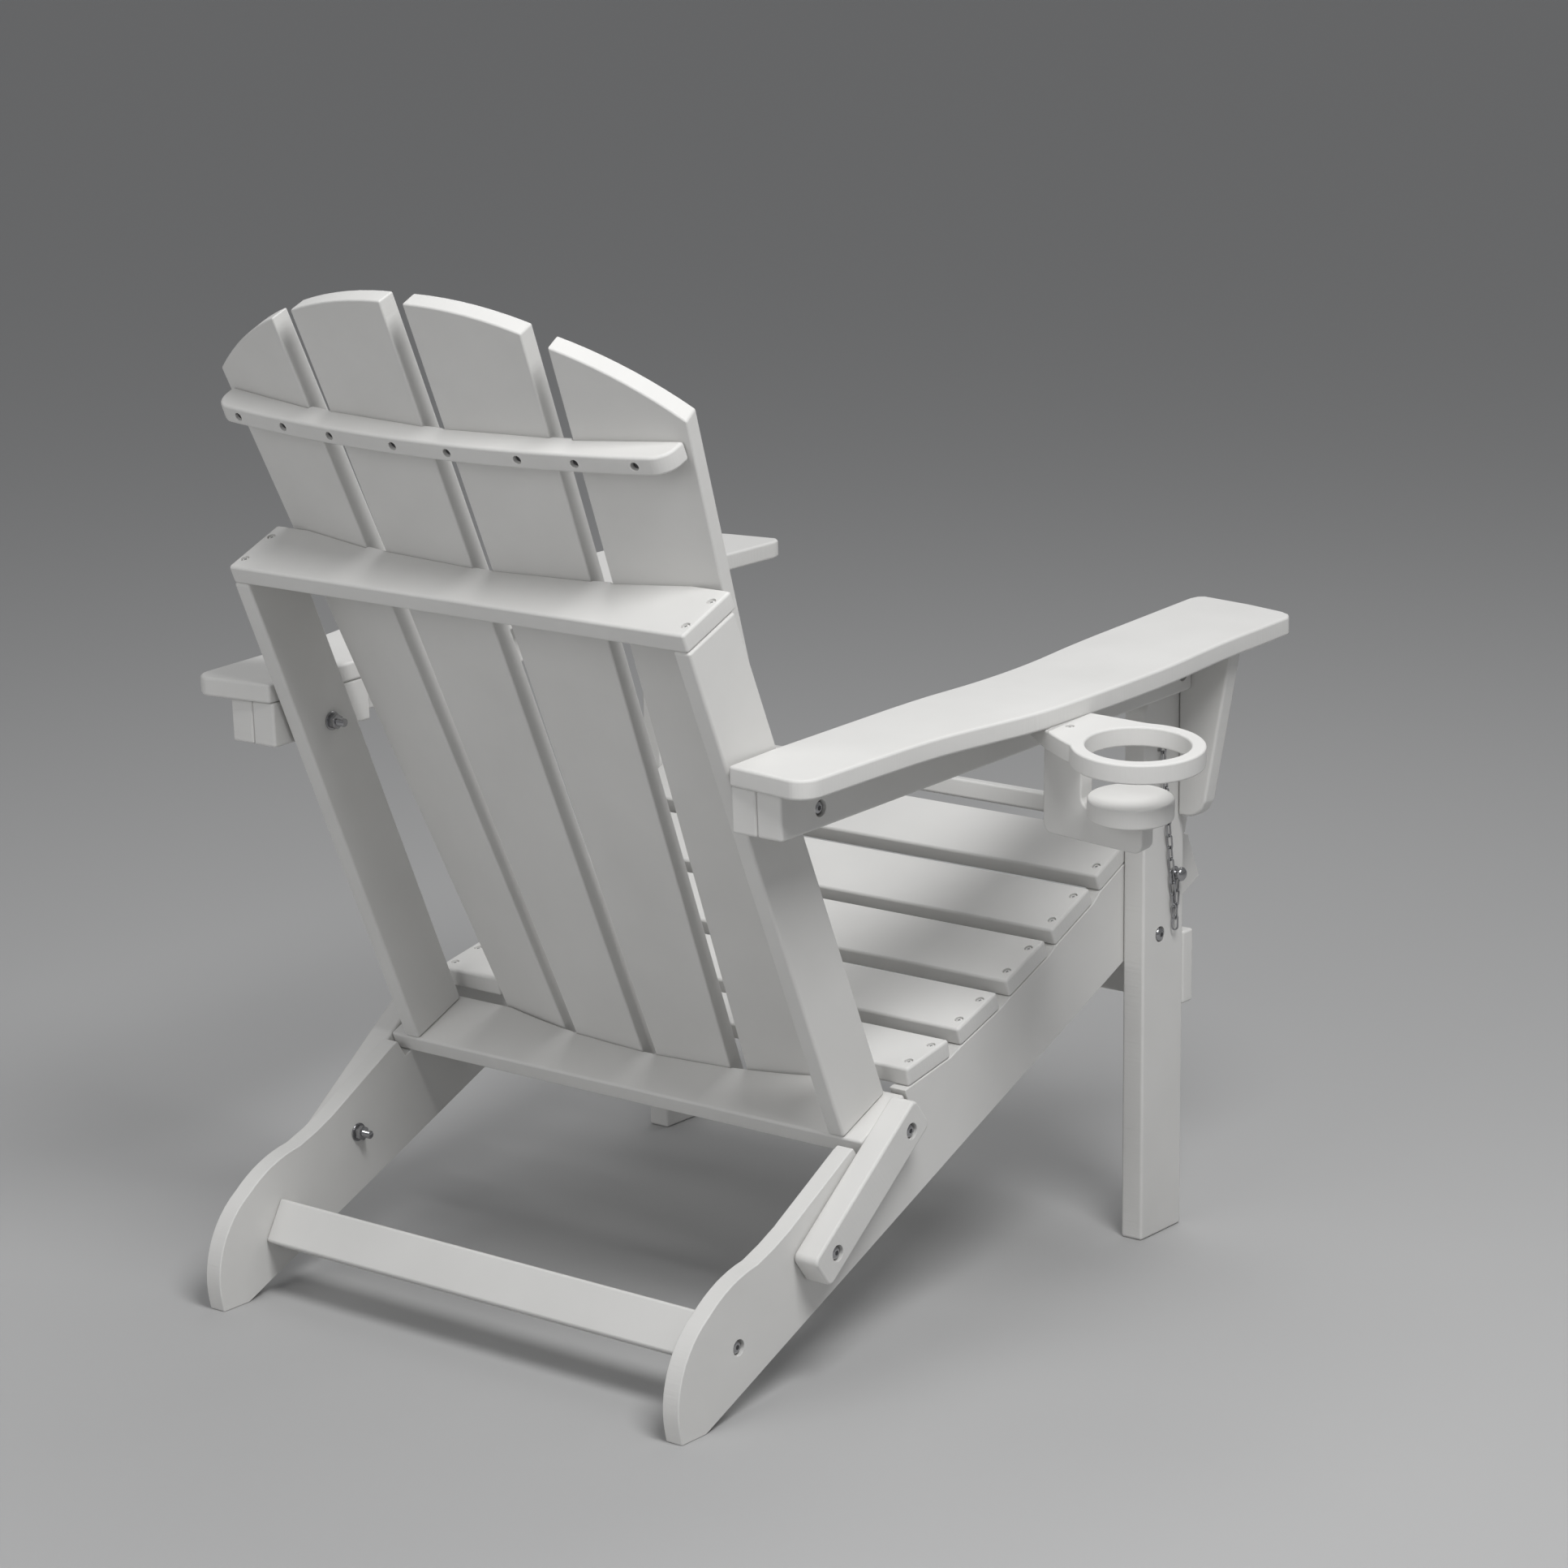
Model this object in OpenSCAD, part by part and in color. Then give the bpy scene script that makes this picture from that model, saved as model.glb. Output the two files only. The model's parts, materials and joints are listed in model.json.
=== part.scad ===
// Folding adirondack garden chair built from flat plastic boards.
// +X is the sitter's left, +Y the rear, +Z up; the feet stand on z = 0.

/* [Boards] */
// thickness of the seat slats, back slats and arm boards
board_t = 18; // [16:0.5:18]
// width of each seat slat
slat_w = 67; // [60:1:67]
// width of each back slat at its lower end
back_w_low = 85; // [70:1:86]
// width of each back slat at the upper cross board
back_w_high = 108; // [96:1:110]
// radius of the arched top of the back
arch_r = 395; // [380:5:430]
// height of the front apron
apron_h = 72; // [56:1:72]

/* [Cup holder] */
// radius of the cup hole
cup_r = 46; // [38:1:48]
// radius of the disc under the cup
cup_base_r = 38; // [34:1:40]

/* [Fasteners] */
// radius of the domed bolt heads
bolt_head_r = 6.6; // [6:0.1:7]
// radius of the wood screw heads
screw_head_r = 3.7; // [3.2:0.1:3.9]

/* [Hidden] */
hdpe = [0.86, 0.86, 0.84];
steel = [0.75, 0.75, 0.76];
// shift that centres the whole chair on the frame origin
centre_x = 69.5;
centre_y = -4.5;
// widths across the frame, measured from the middle
rail_in = 264;
rail_out = 282;
gap = 0.5;
link_out = 308.5;
leg_out = 306;
upright_in = 245.5;
upright_out = 263.5;
// lean of the back from the horizontal
back_lean = 66.72;
u_dir = [cos(back_lean), sin(back_lean)];
n_dir = [sin(back_lean), -cos(back_lean)];
// pivots, as y and z
link_low = [228, 125.8];
link_high = [119.5, 208.6];
arm_rear = [262.3, 533.8];
arm_front = [-290, 551];
leg_pivot = [-277.5, 298.6];
pin_at = [-299.5, 354];
rung_at = [334, 65];
// front legs and apron, as distances along y
leg_rear = -249.5;
leg_front = -317;
apron_t = 18;
apron_top = 292;
// fastener sizes
bolt_r = 4;
bore_r = 4.05;
sink_r = 7.5;
sink_h = 6;
head_h = 5;
nut_r = 7.5;
nut_h = 6.5;
washer_r = 9;
washer_h = 1.6;
screw_r = 2.4;
screw_sink_r = 4;
screw_sink_h = 3.5;
screw_head_h = 2.5;
arm_sink_h = 5.5;
// underside of each seat slat, front edge then rear edge, as y and z
seat_line = [
  [[-356.6, 376.6], [-292.6, 393.6]],
  [[-273.8, 379.3], [-212.2, 350.6]],
  [[-201.6, 342.0], [-139.5, 314.5]],
  [[-129.1, 307.5], [-67.2, 282.5]],
  [[-51.9, 275.3], [8.6, 254.8]],
  [[24.7, 248.2], [87.5, 236.0]]
];
seat_screw_x = 273;
seat_screw_in = 15;
seat_screw_len = 48;
// heights along the back
low_board_u = 232.3;
high_board_u = 764.9;
head_rail_u = 908;
cross_t = 18;
cross_front = -4;
cross_rear = 66;
slat_foot = 21;
arch_peak = 1047;
slat_at = [50.5, 151.5];
slat_to = [65.2, 195.8];
slat_n = [12.5, 0.2];
slat_turn = [3, 9.2];
slat_rise = high_board_u + cross_t - 250;
head_screw_x = [226.8, 166.9, 107.7, 31.2];
// arm board: height of its top over the origin, slope to the front
arm_top = 584.1;
arm_slope = 1.718;
rail_h = 42;
rail_mid = 294;
rail_far = 321;
rail_rear = 317;
rail_front = -305;
block_front = 190;
relief_rear = -200;
bracket_t = 18;
// cup holder, in its own tilted frame
cup_at = [-472.5, 11, 562];
cup_tilt = [-3.9, -3.4, 0];
cup_ring_r = 59;
cup_drop = 67;
cup_arm_h = 31;
cup_base_at = [5, 2];
hanger_t = 17.8;
// retaining pin
pin_short = 0.3;
pin_collar_r = 7;
pin_neck_r = 4;
pin_knob_r = 7;
// chain: path as y and z, from the eye down to the bend and up to the pin
wire_r = 1;
link_pitch = 11.6;
link_bend = 2.7;
link_half = link_pitch / 2 + wire_r + 0.45 - link_bend;
chain_x = 310.3;
chain_eye = [-273, 479];
chain_low = [-296, 303];
chain_end = [-299, 343];
chain_fall = norm(chain_low - chain_eye);
chain_rise = norm(chain_end - chain_low);
eye_r = 2.8;
// how far the threaded ends stand out of their faces
thread_out = 17;

function bow(p, q, s, n) = let (d = [q.y - p.y, p.x - q.x] / norm(q - p))
  [for (i = [1:n - 1]) let (t = i / n) p + (q - p) * t + d * s * 4 * t * (1 - t)];
// a soft curve led by a row of points, through the middle of each stretch
function soft(p, n) = [for (i = [1:len(p) - 2], k = [0:n])
  let (t = k / n, a = (p[i - 1] + p[i]) / 2, b = (p[i] + p[i + 1]) / 2)
  if (k < n || i == len(p) - 2) (1 - t) * (1 - t) * a + 2 * t * (1 - t) * p[i] + t * t * b];
function back_point(u, n) = u * u_dir + n * n_dir;

module placed() {
  translate([centre_x, centre_y, 0]) children();
}

// draws a y-z outline between two distances on one side, s = 1 left, s = -1 right
module side(s, x0, x1) {
  translate([s > 0 ? x0 : -x1, 0, 0]) rotate([90, 0, 90]) linear_extrude(x1 - x0) children();
}

// a round bar across the chair at y, z
module across(s, at, x0, x1, r) {
  translate([s > 0 ? x0 : -x1, at.x, at.y]) rotate([0, 90, 0]) cylinder(h = x1 - x0, r = r, $fn = 40);
}

// back frame: x across, y up the back, z out of its front
module back_frame() {
  rotate([back_lean, 0, 0]) children();
}

// a flat board across the back, outline in x and distance behind the back plane
module plank(u0, t) {
  back_frame() translate([0, u0, 0]) rotate([-90, 0, 0]) linear_extrude(t) children();
}

module arm_frame() {
  translate([0, 0, arm_top]) rotate([-arm_slope, 0, 0]) children();
}

// bolt with a domed head, from its seat at x_seat to its tip at x_tip
module bolt(s, at, x_seat, x_tip) {
  across(s, at, x_tip, x_seat + 0.2, bolt_r);
  translate([s * x_seat, at.x, at.y]) rotate([0, s * 90, 0]) {
    cylinder(h = head_h / 2, r = bolt_head_r, $fn = 40);
    translate([0, 0, head_h / 2])
      cylinder(h = head_h / 2, r1 = bolt_head_r, r2 = bolt_head_r * 0.55, $fn = 40);
  }
}

// washer and nut on an inside face at x
module nut(s, at, x_face) {
  difference() {
    union() {
      across(s, at, x_face - washer_h, x_face, washer_r);
      translate([s * (x_face - washer_h), at.x, at.y]) rotate([0, -s * 90, 0])
        cylinder(h = nut_h, r = nut_r, $fn = 6);
    }
    across(s, at, x_face - washer_h - nut_h - 1, x_face + 1, bolt_r);
  }
}

// a sunk wood screw: its seat at the origin, pointing down
module screw(len) {
  translate([0, 0, -len]) cylinder(h = len, r = screw_r, $fn = 24);
  cylinder(h = screw_head_h, r = screw_head_r, $fn = 24);
}

// the room a sunk screw takes in the board it holds
module screw_room(len) {
  translate([0, 0, -len]) cylinder(h = len + 1, r = screw_r, $fn = 24);
  cylinder(h = 30, r = screw_sink_r, $fn = 24);
}

// ---------- seat frame ----------

module rail_outline() {
  toe = [-381.3, 0.4333 * (379.5 + 381.3)];
  notch_front = back_point(low_board_u - 0.3, -6.5);
  notch_rear = back_point(low_board_u - 0.3, 73);
  horn = [176.5, 198.4];
  waist = [306.5, 132.8];
  hip = [374.6, 104.3];
  heel = [327.4, 28.8];
  polygon(concat(
    [[379.5, 0], toe, [-361, 375.4]],
    [for (f = seat_line, p = f) if (p.x > -300) p],
    [[94, 234.8], notch_front, notch_rear, [170, 200.8], horn, [262, 150.9], [284, 140.9], waist],
    bow(waist, hip, -5.2, 8),
    [for (a = [58:-6:-14]) heel + 89 * [cos(a), sin(a)]],
    [[412, 0]]
  ));
}

module side_rail(s) {
  difference() {
    side(s, rail_in, rail_out) rail_outline();
    across(s, link_low, rail_in - 1, rail_out + 1, bore_r);
    across(s, leg_pivot, rail_in - 1, rail_out + 1, bore_r);
    across(s, rung_at, rail_in - 1, rail_out + 1, bore_r);
    across(s, rung_at, rail_out - sink_h, rail_out + 1, sink_r);
    across(s, pin_at, rail_in - 1, rail_out + 1, bore_r);
  }
}

module side_rail_left() color(hdpe) placed() side_rail(1);
module side_rail_right() color(hdpe) placed() side_rail(-1);

// puts a child at each screw of one seat slat
module slat_screws(i) {
  a = seat_line[i][0];
  d = seat_line[i][1] - a;
  for (s = [-1, 1], e = [seat_screw_in, norm(d) - seat_screw_in])
    translate([s * seat_screw_x, a.x, a.y]) rotate([atan2(d.y, d.x), 0, 0])
      translate([0, e, board_t - screw_sink_h]) children();
}

module seat_slat(i) {
  a = seat_line[i][0];
  d = seat_line[i][1] - a;
  w = min(slat_w, norm(d));
  difference() {
    translate([0, a.x, a.y]) rotate([atan2(d.y, d.x), 0, 0])
      translate([-rail_out, (norm(d) - w) / 2, 0]) cube([2 * rail_out, w, board_t]);
    slat_screws(i) screw_room(seat_screw_len);
    if (i == 5) back_room();
  }
}

// room behind the last seat slat for the lower ends of the back slats
module back_room() {
  back_frame() translate([-204, 215, 4]) cube([408, 60, 24]);
}

module seat_slat_1() color(hdpe) placed() seat_slat(0);
module seat_slat_2() color(hdpe) placed() seat_slat(1);
module seat_slat_3() color(hdpe) placed() seat_slat(2);
module seat_slat_4() color(hdpe) placed() seat_slat(3);
module seat_slat_5() color(hdpe) placed() seat_slat(4);
module seat_slat_6() color(hdpe) placed() seat_slat(5);

module seat_slat_screws() color(steel) placed() {
  for (i = [0:5]) slat_screws(i) screw(seat_screw_len);
}

module rear_rung() color(hdpe) placed() difference() {
  translate([-rail_in, rung_at.x, rung_at.y]) rotate([30, 0, 0])
    translate([0, -13, -21]) cube([2 * rail_in, 26, 42]);
  for (s = [-1, 1]) across(s, rung_at, rail_in - 50, rail_in + 1, bolt_r);
}

module rung_bolts() color(steel) placed() {
  for (s = [-1, 1]) bolt(s, rung_at, rail_out - sink_h, rail_in - 50);
}

// ---------- link bars ----------

module link_outline() {
  d = link_high - link_low;
  r = 7;
  far = norm(d) + 22 - r;
  near = r - 26;
  upper = 19.5 - r;
  lower = r - 17;
  corners = [[far, upper, 0], [near, upper, 90], [near, lower, 180], [far, lower, 270]];
  edge = [for (q = corners, a = [0:15:90]) [q.x, q.y] + r * [cos(q.z + a), sin(q.z + a)]];
  translate(link_low) rotate(atan2(d.y, d.x)) mirror([0, 1]) polygon(edge);
}

module link_bar(s) {
  difference() {
    side(s, rail_out + gap, link_out) link_outline();
    for (p = [link_low, link_high]) {
      across(s, p, rail_out, link_out + 1, bore_r);
      across(s, p, link_out - sink_h, link_out + 1, sink_r);
    }
  }
}

module link_bar_left() color(hdpe) placed() link_bar(1);
module link_bar_right() color(hdpe) placed() link_bar(-1);

module link_lower_bolts() color(steel) placed() {
  for (s = [-1, 1]) bolt(s, link_low, link_out - sink_h + 0.2, rail_in - thread_out);
}

module link_lower_nuts() color(steel) placed() {
  for (s = [-1, 1]) nut(s, link_low, rail_in);
}

module link_upper_bolts() color(steel) placed() {
  for (s = [-1, 1]) bolt(s, link_high, link_out - sink_h + 0.2, rail_out - 55);
}

// ---------- back ----------

module back_upright(s) {
  foot = low_board_u + cross_t;
  difference() {
    back_frame() translate([s > 0 ? upright_in : -upright_out, foot, -cross_rear])
      cube([upright_out - upright_in, high_board_u - foot, cross_rear]);
    across(s, arm_rear, upright_in - 1, upright_out + 1, bore_r);
  }
}

module back_upright_left() color(hdpe) placed() back_upright(1);
module back_upright_right() color(hdpe) placed() back_upright(-1);

// one back slat before its top is arched, i = 0 inner, 1 outer
module slat_blank(i, s) {
  lean = atan2(slat_to[i] - slat_at[i], slat_rise);
  top = arch_peak - 240;
  grow = (back_w_high - back_w_low) / slat_rise;
  low = back_w_low / 2 - slat_foot * grow / 2;
  high = back_w_low / 2 + top * grow / 2;
  back_frame() translate([s * slat_at[i], 250, -slat_n[i]]) rotate([0, 0, -s * lean])
    rotate([0, -s * slat_turn[i], 0]) linear_extrude(board_t)
      polygon([[-low, -slat_foot], [low, -slat_foot], [high, top], [-high, top]]);
}

module back_slat(i, s) {
  difference() {
    intersection() {
      slat_blank(i, s);
      back_frame() union() {
        translate([0, arch_peak - arch_r, -60]) cylinder(h = 120, r = arch_r, $fn = 180);
        translate([-400, 100, -60]) cube([800, 600, 120]);
      }
    }
    back_slat_screw_places(i, s) screw_room(40);
  }
}

module back_slat_1() color(hdpe) placed() back_slat(1, 1);
module back_slat_2() color(hdpe) placed() back_slat(0, 1);
module back_slat_3() color(hdpe) placed() back_slat(0, -1);
module back_slat_4() color(hdpe) placed() back_slat(1, -1);

// screws through the front of one back slat into both cross boards
module back_slat_screw_places(i, s) {
  lean = atan2(slat_to[i] - slat_at[i], slat_rise);
  back_frame() translate([s * slat_at[i], 250, -slat_n[i]]) rotate([0, 0, -s * lean])
    rotate([0, -s * slat_turn[i], 0])
      for (u = [low_board_u, high_board_u], x = [-22, 22])
        translate([x, (u + cross_t / 2 - 250) / cos(lean), board_t - screw_sink_h]) children();
}

module back_slat_screws() color(steel) placed() {
  for (i = [0, 1], s = [-1, 1]) back_slat_screw_places(i, s) screw(40);
}

module all_slat_blanks() {
  for (i = [0, 1], s = [-1, 1]) slat_blank(i, s);
}

module cross_outline(half, bow_r) {
  difference() {
    translate([-half, cross_front]) square([2 * half, cross_rear - cross_front]);
    translate([0, 14.2 - bow_r]) circle(bow_r, $fn = 360);
  }
}

module lower_cross_board() color(hdpe) placed() difference() {
  plank(low_board_u, cross_t) cross_outline(rail_out, 930);
  all_slat_blanks();
  for (s = [-1, 1]) across(s, link_high, rail_out - 55, rail_out + 1, bolt_r);
  cross_screws(low_board_u + screw_sink_h, -1) screw_room(50);
}

module upper_cross_board() color(hdpe) placed() difference() {
  plank(high_board_u, cross_t) cross_outline(262.5, 1250);
  all_slat_blanks();
  cross_screws(high_board_u + cross_t - screw_sink_h, 1) screw_room(50);
}

// puts a child at each screw that joins a cross board to the uprights
module cross_screws(u, up) {
  back_frame() for (s = [-1, 1], n = [14, 51])
    translate([s * 254.5, u, -n]) rotate([-90 * up, 0, 0]) children();
}

module cross_board_screws() color(steel) placed() {
  cross_screws(low_board_u + screw_sink_h, -1) screw(50);
  cross_screws(high_board_u + cross_t - screw_sink_h, 1) screw(50);
}

module head_screw_places() {
  back_frame() for (s = [-1, 1], x = head_screw_x)
    translate([s * x, head_rail_u + cross_t / 2, x * x / 3580 - 34]) rotate([180, 0, 0]) children();
}

// limits the head rail to its length and rounds its rear corners
module head_rail_ends() {
  r = 20;
  half = 258;
  right = concat([[half, -15]], [for (a = [0:10:80]) [half - r, 3] + r * [cos(a), sin(a)]],
    [[half - r - 2, 60]]);
  polygon(concat(right, [for (i = [len(right) - 1:-1:0]) [-right[i].x, right[i].y]]));
}

module head_rail() color(hdpe) placed() difference() {
  plank(head_rail_u, cross_t) difference() {
    intersection() {
      translate([0, 39 - 1790]) circle(1790, $fn = 720);
      head_rail_ends();
    }
    translate([0, 14 - 1337]) circle(1337, $fn = 720);
  }
  all_slat_blanks();
  head_screw_places() screw_room(30);
}

module head_rail_screws() color(steel) placed() head_screw_places() screw(30);

// ---------- arms ----------

module arm_outline(s) {
  inner = [[265, 320], [265, 200], [265, 54], [274, -21], [274, -107], [264, -189], [256.6, -334],
    [253, -410]];
  outer = [[379, -370], [379, -285], [384, -224], [389, -170], [390.5, -109], [390, -33], [388, 30],
    [375, 94], [364, 149], [360, 214], [358, 310]];
  front = [[253.2, -402], [255.5, -412], [262, -417.5], [317, -410], [360, -400], [371, -394], [377, -384]];
  rear = [for (a = [0:15:105]) [338, 309] + 20 * [cos(a), sin(a)]];
  edge = concat([[268, 320]], soft(inner, 4), front, soft(outer, 4), rear);
  polygon([for (p = edge) [s * p.x, p.y]]);
}

module arm_board(s) {
  difference() {
    arm_frame() translate([0, 0, -board_t]) linear_extrude(board_t) arm_outline(s);
    arm_screw_places(s) translate([0, 0, -50]) cylinder(h = 62, r = screw_r, $fn = 24);
  }
}

module arm_left() color(hdpe) placed() arm_board(1);
module arm_right() color(hdpe) placed() arm_board(-1);

// screws up through the outer rail into the arm board
module arm_screw_places(s) {
  arm_frame() for (y = [-180, 40, 240]) translate([s * 314, y, -board_t]) children();
}

module outer_rail(s) {
  x0 = s > 0 ? rail_mid : -rail_far;
  relief_x = s > 0 ? rail_mid - 1 : -leg_out - gap;
  difference() {
    arm_frame() translate([x0, rail_front - 3, -board_t - rail_h])
      cube([rail_far - rail_mid, rail_rear - rail_front + 3, rail_h]);
    translate([-rail_far - 1, rail_front - 20, 400]) cube([2 * rail_far + 2, 20, 250]);
    arm_frame() translate([relief_x, rail_front - 4, -board_t - rail_h - 1])
      cube([leg_out + gap - rail_mid + 1, relief_rear - rail_front + 4, rail_h + 2]);
    for (p = [arm_rear, arm_front]) {
      across(s, p, rail_mid - 1, rail_far + 1, bolt_r);
      across(s, p, rail_far - sink_h, rail_far + 1, sink_r);
    }
    arm_screw_places(s) translate([0, 0, -rail_h - 1]) {
      cylinder(h = rail_h + 2, r = screw_r, $fn = 24);
      cylinder(h = arm_sink_h + 1, r = screw_sink_r, $fn = 24);
    }
  }
}

module arm_outer_rail_left() color(hdpe) placed() outer_rail(1);
module arm_outer_rail_right() color(hdpe) placed() outer_rail(-1);

module inner_block(s) {
  difference() {
    arm_frame() translate([s > 0 ? rail_in + 3 : -rail_mid, block_front, -board_t - rail_h])
      cube([rail_mid - rail_in - 3, rail_rear - block_front, rail_h]);
    across(s, arm_rear, rail_in, rail_mid + 1, bolt_r);
  }
}

module arm_inner_block_left() color(hdpe) placed() inner_block(1);
module arm_inner_block_right() color(hdpe) placed() inner_block(-1);

module bracket_outline(s) {
  base = 409;
  top = 590;
  r = 20;
  toe = [for (a = [-90:15:-15]) [316, base + r] + r * [cos(a), sin(a)]];
  edge = concat([[leg_out + gap, base]], toe, [[337, 427], [367, top], [leg_out + gap, top]]);
  polygon([for (p = edge) [s * p.x, p.y]]);
}

module bracket(s) {
  difference() {
    translate([0, rail_front, 0]) rotate([90, 0, 0]) linear_extrude(bracket_t) bracket_outline(s);
    arm_frame() translate([-450, -450, -board_t]) cube([900, 900, 60]);
    bracket_screw_places(s) screw_room(45);
  }
}

module arm_bracket_left() color(hdpe) placed() bracket(1);
module arm_bracket_right() color(hdpe) placed() bracket(-1);

module bracket_screw_places(s) {
  for (z = [542, 562])
    translate([s * 313.5, rail_front - bracket_t + screw_sink_h, z]) rotate([90, 0, 0]) children();
}

module arm_screws() color(steel) placed() {
  for (s = [-1, 1]) {
    arm_screw_places(s) translate([0, 0, -rail_h + arm_sink_h]) {
      cylinder(h = 47, r = screw_r, $fn = 24);
      translate([0, 0, -screw_head_h]) cylinder(h = screw_head_h + 0.01, r = screw_head_r, $fn = 24);
    }
    bracket_screw_places(s) screw(45);
  }
}

// rear arm pivots, turning in the uprights
module arm_pivot_bolts() color(steel) placed() {
  for (s = [-1, 1]) bolt(s, arm_rear, rail_far - sink_h, upright_in - thread_out);
}

module arm_pivot_nuts() color(steel) placed() {
  for (s = [-1, 1]) nut(s, arm_rear, upright_in - 0.2);
}

module arm_pivot_spacers() color(steel) placed() {
  for (s = [-1, 1]) difference() {
    across(s, arm_rear, upright_out + 0.2, rail_in + 3, washer_r);
    across(s, arm_rear, upright_out, rail_in + 4, bolt_r);
  }
}

// front arm bolts, ending at the face of the leg
module arm_leg_bolts() color(steel) placed() {
  for (s = [-1, 1]) bolt(s, arm_front, rail_far - sink_h, leg_out + 0.3);
}

// nuts and thread ends of the front arm bolts, on the legs
module arm_leg_nuts() color(steel) placed() {
  for (s = [-1, 1]) {
    nut(s, arm_front, rail_out + gap);
    across(s, arm_front, rail_out - thread_out, leg_out - 0.3, bolt_r);
  }
}

// ---------- cup holder ----------

module cup_frame() {
  translate(cup_at) rotate(cup_tilt) children();
}

module cup_plate_outline() {
  circle(cup_ring_r, $fn = 120);
  polygon(concat([[0, -cup_ring_r], [30, -53], [86, -47], [134, -45], [134, -21]],
    bow([134, -21], [38, 40], 6, 8), [[0, 50]]));
}

module cup_ring() color(hdpe) placed() difference() {
  cup_frame() translate([0, 0, -board_t]) linear_extrude(board_t) difference() {
    cup_plate_outline();
    circle(cup_r, $fn = 120);
  }
  arm_frame() translate([-390, -200, -board_t]) cube([100, 400, 60]);
  cup_hanger_screw() screw_room(50);
  cup_arm_screws() translate([0, 0, -30]) cylinder(h = 60, r = screw_r, $fn = 24);
}

module cup_hanger_screw() {
  cup_frame() translate([75, -5, -screw_sink_h]) children();
}

// screws up through the neck into the arm board
module cup_arm_screws() {
  cup_frame() for (x = [98, 122]) translate([x, -30, -board_t]) children();
}

module cup_base_screws() {
  z = screw_sink_h + 8 - cup_drop - cup_arm_h;
  cup_frame() for (x = [0, 24]) translate([x, 0, z]) rotate([180, 0, 0]) children();
}

// a quarter turn of the hanger's outline, from angle a0 in steps of 15
function corner(p, r, a0, step) = [for (a = [a0:step:a0 + 6 * step]) p + r * [cos(a), sin(a)]];

module hanger_outline() {
  r = 10;
  low = -cup_drop - cup_arm_h;
  polygon(concat(
    [[93, -board_t], [52.5, -board_t]],
    corner([42.5, r - cup_drop], r, 0, -15),
    corner([-2, -cup_drop - r], r, 90, 15),
    corner([-2, low + r], r, 180, 15),
    corner([83, low + r], r, -90, 15)
  ));
}

module cup_hanger() color(hdpe) placed() difference() {
  cup_frame() translate([0, hanger_t / 2, 0]) rotate([90, 0, 0])
    linear_extrude(hanger_t) hanger_outline();
  cup_hanger_screw() screw_room(50);
  cup_base_screws() screw_room(34);
}

module cup_base() color(hdpe) placed() difference() {
  cup_frame() translate([cup_base_at.x, cup_base_at.y, -cup_drop])
    cylinder(h = board_t, r = cup_base_r, $fn = 120);
  cup_base_screws() translate([0, 0, -34]) cylinder(h = 35, r = screw_r, $fn = 24);
}

module cup_screws() color(steel) placed() {
  cup_hanger_screw() screw(50);
  cup_base_screws() screw(34);
  cup_arm_screws() {
    cylinder(h = 26, r = screw_r, $fn = 24);
    translate([0, 0, -screw_head_h]) cylinder(h = screw_head_h, r = screw_head_r, $fn = 24);
  }
}

// ---------- front legs ----------

module leg_outline() {
  shoulder = 520;
  tongue_r = 17;
  tongue = [for (a = [20:20:160]) arm_front + tongue_r * [cos(a), sin(a)]];
  foot = [[leg_front, 0], [leg_rear, 0], [leg_rear, shoulder]];
  polygon(concat(foot, tongue, [[leg_front, shoulder]]));
}

module front_leg(s) {
  difference() {
    side(s, rail_out + gap, leg_out) leg_outline();
    for (p = [leg_pivot, pin_at, arm_front]) across(s, p, rail_out, leg_out + 1, bore_r);
    across(s, leg_pivot, leg_out - 3, leg_out + 1, sink_r);
    translate([s * leg_out, chain_eye.x, chain_eye.y]) rotate([0, -s * 90, 0])
      cylinder(h = 12, r = screw_r, $fn = 24);
  }
}

module front_leg_left() color(hdpe) placed() front_leg(1);
module front_leg_right() color(hdpe) placed() front_leg(-1);

module front_apron() color(hdpe) placed() difference() {
  translate([-leg_out, leg_front - apron_t, apron_top - apron_h]) cube([2 * leg_out, apron_t, apron_h]);
  apron_screw_places() screw_room(45);
}

module apron_screw_places() {
  y = leg_front - apron_t + screw_sink_h;
  for (s = [-1, 1], z = [-18, -apron_h + 18])
    translate([s * 294, y, apron_top + z]) rotate([90, 0, 0]) children();
}

module apron_screws() color(steel) placed() apron_screw_places() screw(45);

module leg_pivot_bolts() color(steel) placed() {
  for (s = [-1, 1]) bolt(s, leg_pivot, leg_out - 2.8, rail_in - thread_out);
}

module leg_pivot_nuts() color(steel) placed() {
  for (s = [-1, 1]) nut(s, leg_pivot, rail_in);
}

// ---------- pins and chains ----------

module pull_pin(s) {
  translate([s * leg_out, pin_at.x, pin_at.y]) rotate([0, s * 90, 0]) {
    translate([0, 0, pin_short + rail_out + gap - leg_out])
      cylinder(h = leg_out - rail_out + 8, r = pin_neck_r, $fn = 40);
    translate([0, 0, pin_short]) cylinder(h = 2, r = pin_collar_r, $fn = 40);
    translate([0, 0, 7]) cylinder(h = 3, r = pin_knob_r, $fn = 40);
    translate([0, 0, 10]) cylinder(h = 3, r1 = pin_knob_r, r2 = pin_knob_r * 0.6, $fn = 40);
  }
}

module pull_pin_left() color(steel) placed() pull_pin(1);
module pull_pin_right() color(steel) placed() pull_pin(-1);

// point and heading on the chain at a distance from the eye, as y, z, angle
function chain_at(d) = let (
    falling = d < chain_fall,
    from = falling ? chain_eye : chain_low,
    way = falling ? (chain_low - chain_eye) / chain_fall : (chain_end - chain_low) / chain_rise,
    p = from + way * (falling ? d : d - chain_fall)
  ) [p.x, p.y, atan2(way.y, way.x)];

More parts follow.
